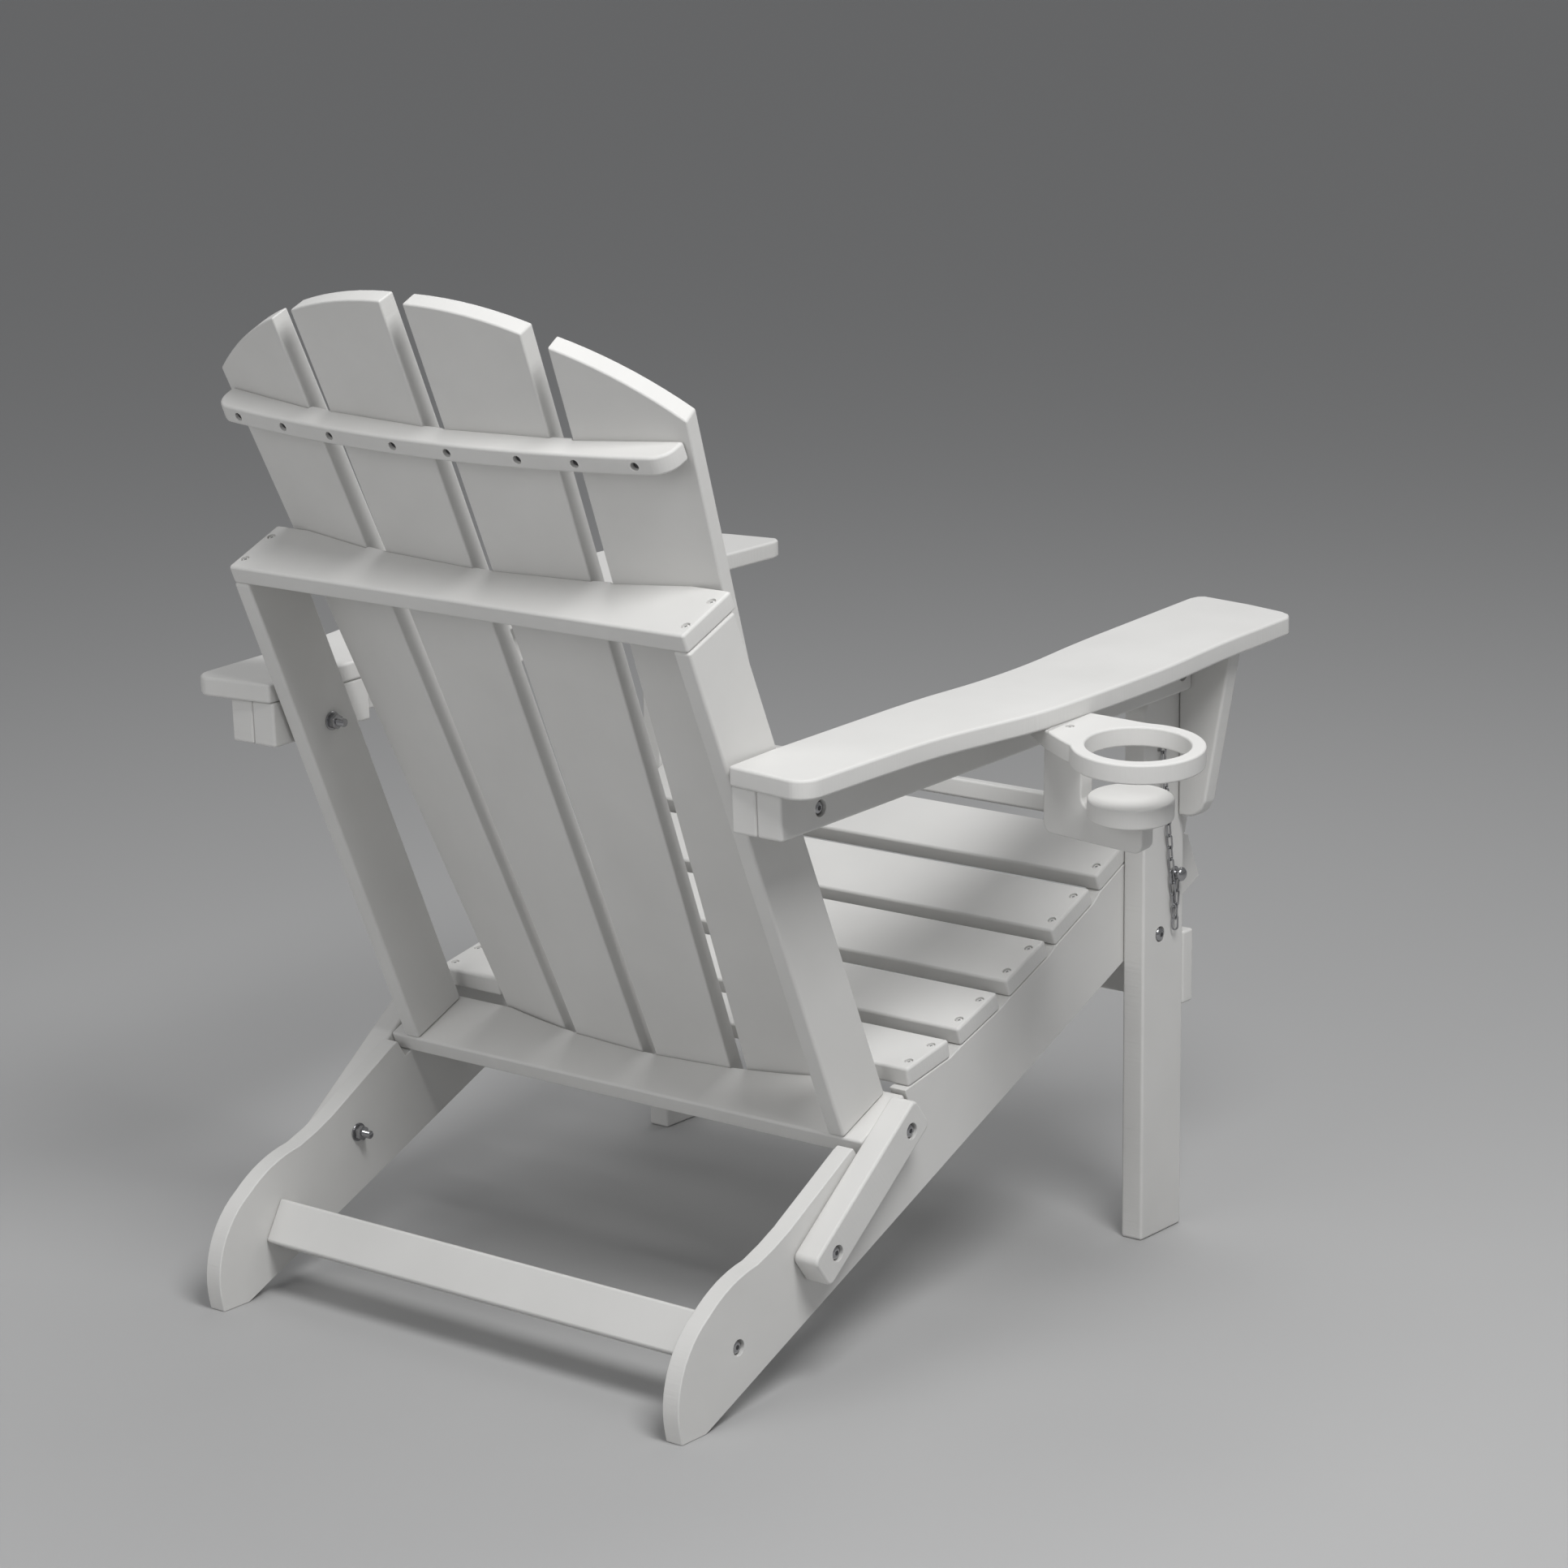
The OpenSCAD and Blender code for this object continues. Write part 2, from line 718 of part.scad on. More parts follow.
module link_shape(r) {
  for (s = [-1, 1]) translate([s * link_half, 0]) circle(r, $fn = 24);
  square([2 * link_half, 2 * r], center = true);
}

// one oval link lying in the x-y plane, long way along x
module chain_link() {
  translate([0, 0, -wire_r]) linear_extrude(2 * wire_r) difference() {
    link_shape(link_bend + wire_r);
    link_shape(link_bend - wire_r);
  }
}

module pin_chain(s) {
  count = floor((chain_fall + chain_rise) / link_pitch) - 1;
  for (i = [0:count]) {
    c = chain_at((i + 0.6) * link_pitch);
    translate([s * chain_x, c.x, c.y]) rotate([90, 0, 90]) rotate([0, 0, c.z])
      rotate([i % 2 == 0 ? 90 : 0, 0, 0]) chain_link();
  }
  translate([s * leg_out, chain_eye.x, chain_eye.y]) rotate([0, s * 90, 0]) {
    translate([0, 0, -11]) cylinder(h = 12.5, r = screw_r, $fn = 24);
    translate([0, 0, eye_r + 1.3]) rotate([90, 0, 0]) rotate_extrude($fn = 24)
      translate([eye_r, 0]) circle(wire_r, $fn = 24);
  }
}

module pin_chain_left() color(steel) placed() pin_chain(1);
module pin_chain_right() color(steel) placed() pin_chain(-1);

side_rail_left();
side_rail_right();
seat_slat_1();
seat_slat_2();
seat_slat_3();
seat_slat_4();
seat_slat_5();
seat_slat_6();
seat_slat_screws();
rear_rung();
rung_bolts();
link_bar_left();
link_bar_right();
link_lower_bolts();
link_lower_nuts();
link_upper_bolts();
back_upright_left();
back_upright_right();
back_slat_1();
back_slat_2();
back_slat_3();
back_slat_4();
back_slat_screws();
lower_cross_board();
upper_cross_board();
cross_board_screws();
head_rail();
head_rail_screws();
arm_left();
arm_right();
arm_outer_rail_left();
arm_outer_rail_right();
arm_inner_block_left();
arm_inner_block_right();
arm_bracket_left();
arm_bracket_right();
arm_screws();
arm_pivot_bolts();
arm_pivot_nuts();
arm_pivot_spacers();
arm_leg_bolts();
arm_leg_nuts();
cup_ring();
cup_hanger();
cup_base();
cup_screws();
front_leg_left();
front_leg_right();
front_apron();
apron_screws();
leg_pivot_bolts();
leg_pivot_nuts();
pull_pin_left();
pull_pin_right();
pin_chain_left();
pin_chain_right();
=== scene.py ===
import json
from math import cos, pi, radians, sin

import bmesh
import bpy
from mathutils import Matrix, Vector


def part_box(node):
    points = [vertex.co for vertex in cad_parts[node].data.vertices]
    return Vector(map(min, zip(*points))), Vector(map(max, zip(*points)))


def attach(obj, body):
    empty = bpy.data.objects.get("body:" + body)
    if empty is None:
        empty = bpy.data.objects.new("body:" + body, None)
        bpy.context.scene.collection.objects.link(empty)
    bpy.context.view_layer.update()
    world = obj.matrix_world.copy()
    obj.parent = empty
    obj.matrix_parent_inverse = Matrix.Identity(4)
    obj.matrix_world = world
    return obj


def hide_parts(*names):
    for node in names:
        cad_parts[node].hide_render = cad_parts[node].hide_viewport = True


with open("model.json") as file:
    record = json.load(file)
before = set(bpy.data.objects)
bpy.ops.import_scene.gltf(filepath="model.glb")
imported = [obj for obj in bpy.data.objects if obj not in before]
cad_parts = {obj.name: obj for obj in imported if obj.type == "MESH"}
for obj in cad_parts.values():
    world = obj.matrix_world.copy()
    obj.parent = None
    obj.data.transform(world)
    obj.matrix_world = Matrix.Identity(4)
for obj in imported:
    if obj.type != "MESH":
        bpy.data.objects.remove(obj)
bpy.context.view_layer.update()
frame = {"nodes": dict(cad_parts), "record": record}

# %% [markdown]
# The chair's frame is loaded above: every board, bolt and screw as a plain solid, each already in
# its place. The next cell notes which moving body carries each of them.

MM = 0.001
record = frame["record"]
body_of_node = {}
for body_name, members in record["behaviour"]["bodies"].items():
    for member in members:
        body_of_node[member] = body_name
print("nodes:", len(frame["nodes"]), "on bodies:", len(set(body_of_node.values())))

# %% [markdown]
# The chair is nearly the same on both sides. The plane halfway between its side rails tells left
# from right, so that bolts and pins on either side can point away from the middle.

# %% Middle of the chair
CENTRE_X = (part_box("side_rail_left")[1][0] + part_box("side_rail_right")[0][0]) / 2
SIDEWAYS = Vector((1, 0, 0))
REARWARD = Vector((0, 1, 0))
UP = Vector((0, 0, 1))
print("middle of the chair at x =", round(CENTRE_X, 4))

# %% [markdown]
# The boards are cut from thick matt plastic sheet. Its broad faces carry the faint grain of the
# sheet: tiny pits and soft cloudy patches. Its cut edges carry the marks of the router: fine ridges
# straight across the thickness. Painted images could show them, but noise inside the node tree
# stays sharp at any distance. Helpers that lay out noise keep the materials short.

# %% Noise helpers
def new_material(name, roughness):
    """A node material; returns it with its node tree and its main shader."""
    material = bpy.data.materials.new(name)
    material.use_nodes = True
    shader = material.node_tree.nodes["Principled BSDF"]
    shader.inputs["Roughness"].default_value = roughness
    return material, material.node_tree, shader


def noise_layer(tree, coordinates, scale, stretch=(1, 1, 1), detail=2.0):
    """Noise on stretched coordinates; a small stretch draws the pattern out along that axis."""
    mapping = tree.nodes.new("ShaderNodeMapping")
    mapping.inputs["Scale"].default_value = stretch
    noise = tree.nodes.new("ShaderNodeTexNoise")
    noise.inputs["Scale"].default_value = scale
    noise.inputs["Detail"].default_value = detail
    tree.links.new(coordinates, mapping.inputs["Vector"])
    tree.links.new(mapping.outputs["Vector"], noise.inputs["Vector"])
    return noise.outputs["Fac"]


def ramp(tree, value, low, high, low_colour, high_colour):
    """Turns a value into a colour between two stops."""
    node = tree.nodes.new("ShaderNodeValToRGB")
    node.color_ramp.elements[0].position = low
    node.color_ramp.elements[0].color = (*low_colour, 1)
    node.color_ramp.elements[1].position = high
    node.color_ramp.elements[1].color = (*high_colour, 1)
    tree.links.new(value, node.inputs["Fac"])
    return node.outputs["Color"]


def bump(tree, height, strength, distance, below=None):
    """A bump node, stacked on another one if given."""
    node = tree.nodes.new("ShaderNodeBump")
    node.inputs["Strength"].default_value = strength
    node.inputs["Distance"].default_value = distance
    tree.links.new(height, node.inputs["Height"])
    if below is not None:
        tree.links.new(below, node.inputs["Normal"])
    return node.outputs["Normal"]


print("helpers for materials are ready")

# %% [markdown]
# Each board gets its own grain coordinates, stored on its vertices: the first two run in the plane
# of the board and the third through its thickness. A pattern on them follows the board whichever
# way it leans, which plain object coordinates can't do for a fan of tilted slats. The noise scales
# are in waves per metre, so a scale of 900 makes pits of about a millimetre.

# %% Board plastic
PLASTIC = (0.66, 0.655, 0.64)
PLASTIC_DULL = (0.62, 0.615, 0.60)
CLOUD_SCALE = 9
PIT_SCALE = 900
RIDGE_SCALE = 380
ACROSS_THE_EDGE = (1, 1, 0.03)


def board_plastic(name, cut_edge):
    """Plastic sheet: its broad face, or with ridges on top its routed edge."""
    material, tree, shader = new_material(name, 0.62 if cut_edge else 0.55)
    grain = tree.nodes.new("ShaderNodeAttribute")
    grain.attribute_name = "grain"
    vector = grain.outputs["Vector"]
    clouds = noise_layer(tree, vector, CLOUD_SCALE, detail=3)
    tree.links.new(ramp(tree, clouds, 0.3, 0.7, PLASTIC_DULL, PLASTIC), shader.inputs["Base Color"])
    pits = noise_layer(tree, vector, PIT_SCALE)
    normal = bump(tree, pits, 0.10, 0.3 * MM)
    if cut_edge:
        ridges = noise_layer(tree, vector, RIDGE_SCALE, stretch=ACROSS_THE_EDGE, detail=3)
        normal = bump(tree, ridges, 0.45, 0.4 * MM, normal)
    tree.links.new(normal, shader.inputs["Normal"])
    shader.inputs["Specular IOR Level"].default_value = 0.35
    return material


board_face = board_plastic("board_face", False)
board_cut = board_plastic("board_cut", True)
coated = board_plastic("coated_screw", False)
print("plastic finishes:", board_face.name, board_cut.name, coated.name)

# %% [markdown]
# The bolts, nuts, pins and chains are stainless steel, bright but brushed by the tumbler they were
# finished in. A metallic shader with a little bump noise is enough at their size. The insides of
# sockets and driver recesses get painted shade: a darker and rougher steel, because little light
# reaches them. The head rail screws are coloured with the same dark steel.

# %% Stainless steel
def steel_material(name, colour, roughness):
    """Bare metal with fine scuffs."""
    material, tree, shader = new_material(name, roughness)
    shader.inputs["Base Color"].default_value = (*colour, 1)
    shader.inputs["Metallic"].default_value = 1.0
    place = tree.nodes.new("ShaderNodeTexCoord").outputs["Object"]
    scuffs = noise_layer(tree, place, PIT_SCALE)
    tree.links.new(bump(tree, scuffs, 0.15, 0.3 * MM), shader.inputs["Normal"])
    return material


stainless = steel_material("stainless", (0.40, 0.40, 0.41), 0.22)
# Painted shade: this dark, rough steel stands in for the shadow inside sockets and driver recesses, and
# it also colours the head rail screws.
dark_metal_and_recess_shade = steel_material("socket_shade_and_dark_metal", (0.10, 0.10, 0.105), 0.45)
print("metals:", stainless.name, dark_metal_and_recess_shade.name)

# %% [markdown]
# A real board has its sharp edges taken off with a rounding cutter, and that soft edge is what the
# light catches. The edges to round are found by the angle between their faces. The rims of drilled
# holes are sharp edges too, but no cutter runs round them, so they are told apart by their shape: a
# small closed ring whose points all lie at the same distance from its middle.

# %% Finding edges
SHARP = radians(28)
LARGEST_HOLE_R = 12 * MM
RIM_TOLERANCE = 0.4 * MM


def middle(points):
    return sum(points, Vector()) / len(points)


def sharp_edges(bm):
    return [e for e in bm.edges if len(e.link_faces) == 2 and e.calc_face_angle() > SHARP]


def edge_groups(edges):
    """Sharp edges gathered into connected runs."""
    todo = set(edges)
    while todo:
        group, front = [], [todo.pop()]
        while front:
            edge = front.pop()
            group.append(edge)
            for vert in edge.verts:
                for other in vert.link_edges:
                    if other in todo:
                        todo.remove(other)
                        front.append(other)
        yield group


def is_hole_rim(group):
    points = [v.co for v in {v for e in group for v in e.verts}]
    centre = middle(points)
    reach = [(p - centre).length for p in points]
    return len(points) > 6 and max(reach) < LARGEST_HOLE_R and max(reach) - min(reach) < RIM_TOLERANCE


print("edges that turn more than", round(SHARP * 180 / pi), "degrees count as sharp")

# %% [markdown]
# The grain directions of a board come from the board itself: the normal of its largest flat face is
# the thickness direction, and its longest side lying in that face is the length direction. Each
# board also starts its grain at a spot of its own, as if cut from another part of the sheet.

# %% Grain of a board
GRAIN_STEP = (0.37, 0.61)


def board_axes(bm):
    """Unit vectors along, across and through a board."""
    broad = max(bm.faces, key=lambda f: f.calc_area())
    through = broad.normal.copy()
    longest = max(broad.edges, key=lambda e: e.calc_length())
    along = (longest.verts[1].co - longest.verts[0].co).normalized()
    along = (along - through * along.dot(through)).normalized()
    return along, through.cross(along), through


def store_grain(mesh, axes, seed):
    """Writes the grain coordinates onto the vertices."""
    grain = mesh.attributes.new("grain", "FLOAT_VECTOR", "POINT")
    shift = Vector((seed * GRAIN_STEP[0], seed * GRAIN_STEP[1], 0))
    for vert in mesh.vertices:
        grain.data[vert.index].vector = Vector([vert.co.dot(axis) for axis in axes]) + shift


print("grain shifts by", GRAIN_STEP, "metres from board to board")

# %% [markdown]
# Every piece ends the same way: its mesh gets its materials, is shaded smooth apart from its sharp
# edges, and is told which moving body it rides on. The object stays at the origin, unturned,
# because its place is already in its mesh.

# %% Mesh to finished piece
SMOOTH_BELOW = radians(36)


def finish_piece(name, bm, body, materials):
    """Turns a bmesh into a named piece that rides on a body."""
    mesh = bpy.data.meshes.new(name)
    bm.to_mesh(mesh)
    bm.free()
    for material in materials:
        mesh.materials.append(material)
    for polygon in mesh.polygons:
        polygon.use_smooth = True
    mesh.set_sharp_from_angle(angle=SMOOTH_BELOW)
    piece = bpy.data.objects.new(name, mesh)
    bpy.context.scene.collection.objects.link(piece)
    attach(piece, body)
    return piece


print("edges that turn less than", round(SMOOTH_BELOW * 180 / pi), "degrees are shaded smooth")

# %% [markdown]
# A board could be drawn again from its outline, but its plain solid already has every notch and hole
# in the right place. So each one is made from a merged copy: flat faces are joined up again, the
# outer edges are bevelled to a quarter round, and the hole rims get only a hair of a bevel. A
# weighted normal modifier then keeps the broad faces shading flat right up to the round. Most boards
# get the same round; the back slats, side rails and cup holder have a smaller one.

# %% Rounded board
EDGE_ROUND = 2.8 * MM
ROUNDING = {"back_slat": 1.8 * MM, "side_rail": 1.2 * MM, "cup_": 2.0 * MM}
RIM_ROUND = 0.35 * MM
WELD = 0.02 * MM
NEARLY_FLAT = radians(0.6)
BROAD_FACE = 0.85


def welded_copy(node):
    """A bmesh of a node's plain solids, its loose triangles joined at their corners."""
    bm = bmesh.new()
    bm.from_mesh(frame["nodes"][node].data)
    bmesh.ops.remove_doubles(bm, verts=bm.verts, dist=WELD)
    return bm


def round_edges(bm, edges, offset, segments):
    if edges:
        bmesh.ops.bevel(bm, geom=edges, offset=offset, offset_type="OFFSET", segments=segments,
                        profile=0.5, affect="EDGES", material=-1, clamp_overlap=False)


def rounded_board(node, edge_round, seed):
    bm = welded_copy(node)
    bmesh.ops.dissolve_limit(bm, angle_limit=NEARLY_FLAT, verts=bm.verts, edges=bm.edges)
    axes = board_axes(bm)
    rims, outer = [], []
    for group in edge_groups(sharp_edges(bm)):
        (rims if is_hole_rim(group) else outer).extend(group)
    round_edges(bm, outer, edge_round, 3)
    round_edges(bm, [e for e in rims if e.is_valid], RIM_ROUND, 2)
    bm.normal_update()
    for face in bm.faces:
        face.material_index = 0 if abs(face.normal.dot(axes[2])) > BROAD_FACE else 1
    piece = finish_piece(node + "_board", bm, body_of_node[node], [board_face, board_cut])
    even = piece.modifiers.new("even_normals", "WEIGHTED_NORMAL")
    even.mode = "FACE_AREA"
    even.weight = 50
    even.keep_sharp = True
    store_grain(piece.data, axes, seed)
    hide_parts(node)
    return piece


boards = [entry["node"] for entry in record["subparts"] if entry["material_slot"] == "board"]
for number, node in enumerate(boards):
    rounding = EDGE_ROUND
    for start, smaller in ROUNDING.items():
        if node.startswith(start):
            rounding = smaller
    rounded_board(node, rounding, number)
print("boards rounded:", len(boards))

# %% [markdown]
# The fasteners are made new, on the place and axis of each plain one. A fastener node holds several
# equal solids, so a helper walks over a merged copy from point to joined point and gives each
# solid's points by itself. Where a solid lies is then measured from those points.

# %% Separate solids of a node
def connected(start):
    """Every vertex that edges join to the given ones."""
    seen, front = set(start), list(start)
    while front:
        for edge in front.pop().link_edges:
            for vert in edge.verts:
                if vert not in seen:
                    seen.add(vert)
                    front.append(vert)
    return seen


def solids_of(node):
    """Point lists, one for each connected solid of a node."""
    bm = welded_copy(node)
    left = set(bm.verts)
    groups = []
    while left:
        solid = connected([left.pop()])
        left -= solid
        groups.append([vert.co.copy() for vert in solid])
    bm.free()
    return sorted(groups, key=lambda g: tuple(min(g, key=lambda p: (p.x, p.y, p.z))))


def span(points, axis):
    """Lowest and highest place of the points along an axis."""
    along = [p.dot(axis) for p in points]
    return min(along), max(along)


def side_of(points):
    """1 for a solid on the sitter's left, -1 on the right."""
    return 1 if middle(points).x > CENTRE_X else -1


def turned_to(axis):
    """Rotation that takes +Z to an axis."""
    return axis.to_track_quat("Z", "Y").to_matrix().to_4x4()


print("seat slat screws:", len(solids_of("seat_slat_screws")), "solids in one node")

# %% [markdown]
# A turned part, such as a bolt head, is a profile spun a full turn. The profile is a list of radius
# and height pairs. Where it starts or ends on the axis, the spin leaves many points in one spot;
# they are welded together, which closes the pole, and the faces are then made to point outwards.

# %% Spinning a profile
WELD_FINE = 0.001 * MM


def spun(bm, profile, place, steps=32):
    """Adds a full turn of a profile, given as (radius, height) in millimetres, at a placement."""
    verts = [bm.verts.new((r * MM, 0, z * MM)) for r, z in profile]
    edges = [bm.edges.new(pair) for pair in zip(verts, verts[1:])]
    bmesh.ops.spin(bm, geom=verts + edges, cent=(0, 0, 0), axis=(0, 0, 1), angle=2 * pi,
                   steps=steps, use_merge=True, use_normal_flip=False, use_duplicate=False)
    turn = list(connected(verts))
    bmesh.ops.remove_doubles(bm, verts=turn, dist=WELD_FINE)
    turn = [v for v in turn if v.is_valid]
    bmesh.ops.transform(bm, matrix=place, verts=turn)
    bmesh.ops.recalc_face_normals(bm, faces=list({f for v in turn for f in v.link_faces}))


def finish_steel(node, bm, materials):
    """Finishes the new metal piece that stands in for a plain node."""
    piece = finish_piece(node + "_new", bm, body_of_node[node], materials)
    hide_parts(node)
    return piece


print("profiles are welded within", round(WELD_FINE / MM, 4), "mm")

# %% [markdown]
# The bolts are button-head machine bolts: a low dome on a short rim, with a six-sided socket. The
# socket could be cut out with a boolean, but a dark six-sided plug set into the dome, painted shade
# standing in for the hollow, looks the same at this size and keeps the mesh clean. Past the head
# runs the shank, and the part that stands out of its nut has thread ridges, drawn as a row of small
# peaks in the profile.

# %% Bolts
HEAD_R = 6.5
HEAD_H = 4.6
HEAD_SPACE = 5.0
SOCKET_FLATS = 4.2
SOCKET_DEPTH = 1.2
SHANK_R = 3.9
PROUD = 0.03


def dome(radius, height, rim=1.0, steps=8):
    """Profile of a domed head with a small flat for the socket, from its seat up."""
    flat = radius * 0.42
    arc = [(flat + (radius - flat) * cos(a), rim + (height - rim) * sin(a))
           for a in [pi / 2 * k / steps for k in range(steps + 1)]]
    return [(radius - 0.4, 0)] + arc


def threads(start, end, pitch=1.25, depth=0.45):
    """Profile of ridges between two heights, running down to the bolt's end on its axis."""
    profile = []
    z = start
    while z - pitch > end:
        profile += [(SHANK_R - depth, z), (SHANK_R, z - pitch * 0.35), (SHANK_R, z - pitch * 0.55)]
        z -= pitch
    return profile + [(SHANK_R - depth, end + 0.3), (SHANK_R - 0.9, end), (0, end)]


def socket(bm, place, top):
    """A dark six-sided plug of painted socket shade in the top of a head; it stands just proud of the
    flat.
    """
    radius = SOCKET_FLATS / 2 / cos(pi / 6) * MM
    centre = Matrix.Translation((0, 0, (top - SOCKET_DEPTH / 2) * MM))
    made = bmesh.ops.create_cone(bm, segments=6, radius1=radius, radius2=radius, matrix=place @ centre,
                                 depth=SOCKET_DEPTH * MM, cap_ends=True, cap_tris=False)
    # Its faces take the dark steel: painted shade for the socket's hollow.
    for face in {f for v in made["verts"] for f in v.link_faces}:
        face.material_index = 1


def bolt_piece(node, thread_len):
    """New bolts on the places of a node's bolts; their heads point out of the chair."""
    bm = bmesh.new()
    for points in solids_of(node):
        outward = SIDEWAYS * side_of(points)
        low, high = span(points, outward)
        centre = middle([p for p in points if p.dot(outward) > high - 0.3 * MM])
        seat = high - HEAD_SPACE * MM
        place = Matrix.Translation(centre + outward * (seat - centre.dot(outward))) @ turned_to(outward)
        end = (low - seat) / MM
        head = [(0, HEAD_H)] + dome(HEAD_R, HEAD_H)[::-1]
        shank = [(SHANK_R, 0), (SHANK_R, end + thread_len)]
        spun(bm, head + shank + threads(end + thread_len, end), place)
        socket(bm, place, HEAD_H + PROUD)
    return finish_steel(node, bm, [stainless, dark_metal_and_recess_shade])


THREAD_LENGTHS = {"link_lower_bolts": 24, "link_upper_bolts": 8, "rung_bolts": 8,
                  "arm_pivot_bolts": 24, "leg_pivot_bolts": 24, "arm_leg_bolts": 1}
for node, thread_len in THREAD_LENGTHS.items():
    bolt_piece(node, thread_len)
print("bolt nodes made:", len(THREAD_LENGTHS))

# %% [markdown]
# Inside each moving pivot sits a round washer and a six-sided nut with its corners turned down. The
# washer is a spun ring. The nut is a six-sided cylinder whose edges are bevelled. The front arm
# nodes also carry the threaded end of their bolt.

# %% Washers and nuts
WASHER = [(4.3, 0.05), (8.6, 0.05), (8.8, 0.3), (8.8, 1.2), (8.6, 1.45), (4.3, 1.45), (4.3, 0.05)]
WASHER_H = 1.5
NUT_R = 7.3
NUT_H = 6.3
NUT_ROUND = 0.6
BOLT_END = [(0, 2), (SHANK_R, 2)] + [(r, -z) for r, z in threads(-2, -16.5)]


def nut_piece(node, face_x, with_end):
    """Washer and nut on an inside face, one on each side of the chair."""
    bm = bmesh.new()
    for points in solids_of(node):
        side = side_of(points)
        y = sum(span(points, REARWARD)) / 2
        z = sum(span(points, UP)) / 2
        place = Matrix.Translation((CENTRE_X + side * face_x, y, z)) @ turned_to(SIDEWAYS * -side)
        spun(bm, WASHER, place, steps=40)
        nut_middle = Matrix.Translation((0, 0, (WASHER_H + NUT_H / 2) * MM))
        made = bmesh.ops.create_cone(bm, segments=6, radius1=NUT_R * MM, radius2=NUT_R * MM,
                                     depth=NUT_H * MM, cap_ends=True, cap_tris=False,
                                     matrix=place @ nut_middle)
        edges = list({e for v in made["verts"] for e in v.link_edges})
        bmesh.ops.bevel(bm, geom=edges, offset=NUT_ROUND * MM, segments=2, profile=0.5, affect="EDGES",
                        material=-1)
        if with_end:
            spun(bm, BOLT_END, place)
    return finish_steel(node, bm, [stainless])


RAIL_INNER = 264 * MM
ARM_SPACER_INNER = 245.3 * MM
LEG_INNER = 282.5 * MM
nut_piece("link_lower_nuts", RAIL_INNER, False)
nut_piece("leg_pivot_nuts", RAIL_INNER, False)
nut_piece("arm_pivot_nuts", ARM_SPACER_INNER, False)
nut_piece("arm_leg_nuts", LEG_INNER, True)
print("nuts lie on faces", [round(x / MM, 1) for x in (RAIL_INNER, ARM_SPACER_INNER, LEG_INNER)],
      "mm from the middle")

# %% [markdown]
# The wood screws sit in shallow round counterbores. Most heads are coated in the colour of the
# boards, so only the cross-shaped driver recess shows, dark with shade. Each is a low spun dome with
# two dark bars of painted shade let into it, crossing at the middle. A screw's direction is found
# from its plain solid: its head is the wider of its two ends.

# %% Screws
SCREW = [(0, -0.05), (1.6, -0.05), (2.9, -0.35), (3.5, -1.0), (3.55, -2.4), (2.3, -2.5),
         (2.3, -12), (0, -12)]
END_REACH = 8.5 * MM
CROSS_BAR = Matrix.Diagonal((3.2 * MM, 0.7 * MM, 1.06 * MM, 1))
CROSS_DEPTH = Matrix.Translation((0, 0, -0.55 * MM))
PLAIN_AXES = (SIDEWAYS, REARWARD, UP)
SCREW_GRAIN = 3


def screw_axis(points):
    """Unit vector from the tip of a screw to its head."""
    centre = middle(points)
    first = max(points, key=lambda p: (p - centre).length)
    second = max(points, key=lambda p: (p - first).length)
    ends = []
    for end in (first, second):
        near = [p for p in points if (p - end).length < END_REACH]
        ends.append((max((p - end).length for p in near), middle(near)))
    tip, head = sorted(ends, key=lambda e: e[0])
    return (head[1] - tip[1]).normalized()


def screw_piece(node, coat):
    bm = bmesh.new()
    for points in solids_of(node):
        axis = screw_axis(points)
        high = span(points, axis)[1]
        top = middle([p for p in points if p.dot(axis) > high - 0.05 * MM])
        place = Matrix.Translation(top - axis * (top.dot(axis) - high)) @ turned_to(axis)
        spun(bm, SCREW, place, steps=24)
        for turn in (0, pi / 2):
            bar = bmesh.ops.create_cube(bm, size=1.0, matrix=place @ Matrix.Rotation(turn, 4, "Z")
                                        @ CROSS_DEPTH @ CROSS_BAR)
            # The bars take the dark steel: painted shade in the driver recess.
            for face in {f for v in bar["verts"] for f in v.link_faces}:
                face.material_index = 1
    piece = finish_steel(node, bm, [coat, dark_metal_and_recess_shade])
    store_grain(piece.data, PLAIN_AXES, SCREW_GRAIN)
    return piece


SCREW_COATS = {"seat_slat_screws": coated, "cross_board_screws": coated, "back_slat_screws": coated,
               "head_rail_screws": dark_metal_and_recess_shade, "arm_screws": coated, "apron_screws": coated,
               "cup_screws": coated}
for node, coat in SCREW_COATS.items():
    screw_piece(node, coat)
print("screw nodes made:", len(SCREW_COATS))

# %% [markdown]
# Each chain hangs from a screw eye down the outside of a leg to a bottom link, and from there back up
# to its pin. It is bent from round wire. The eye is the wire's cross-section spun a full turn. A
# link is a long oval, made as a maker bends it: half a turn, then a straight side, and then the same
# again on the other half, which is a copy turned about the middle and welded on.

# %% Wire eye and link
WIRE_R = 0.95 * MM
WIRE_SIDES = 8
EYE_R = 2.8 * MM
EYE_STEPS = 20
LINK_BEND = 2.6 * MM
LINK_PITCH = 11.8 * MM
BEND_STEPS = 8


def wire_section(bm, centre, through, across):
    """The wire's cross-section at a point, with the wire running through it."""
    turn = Matrix((across, through.cross(across), through)).transposed().to_4x4()
    made = bmesh.ops.create_circle(bm, segments=WIRE_SIDES, radius=WIRE_R, cap_ends=False,
                                   matrix=Matrix.Translation(centre) @ turn)
    return made["verts"] + list({e for v in made["verts"] for e in v.link_edges})


def weld_wire(bm, verts):
    """Welds the ends of a wire and makes its faces point outwards."""
    bmesh.ops.remove_doubles(bm, verts=verts, dist=WELD)
    faces = {f for v in verts if v.is_valid for f in v.link_faces}
    bmesh.ops.recalc_face_normals(bm, faces=list(faces))


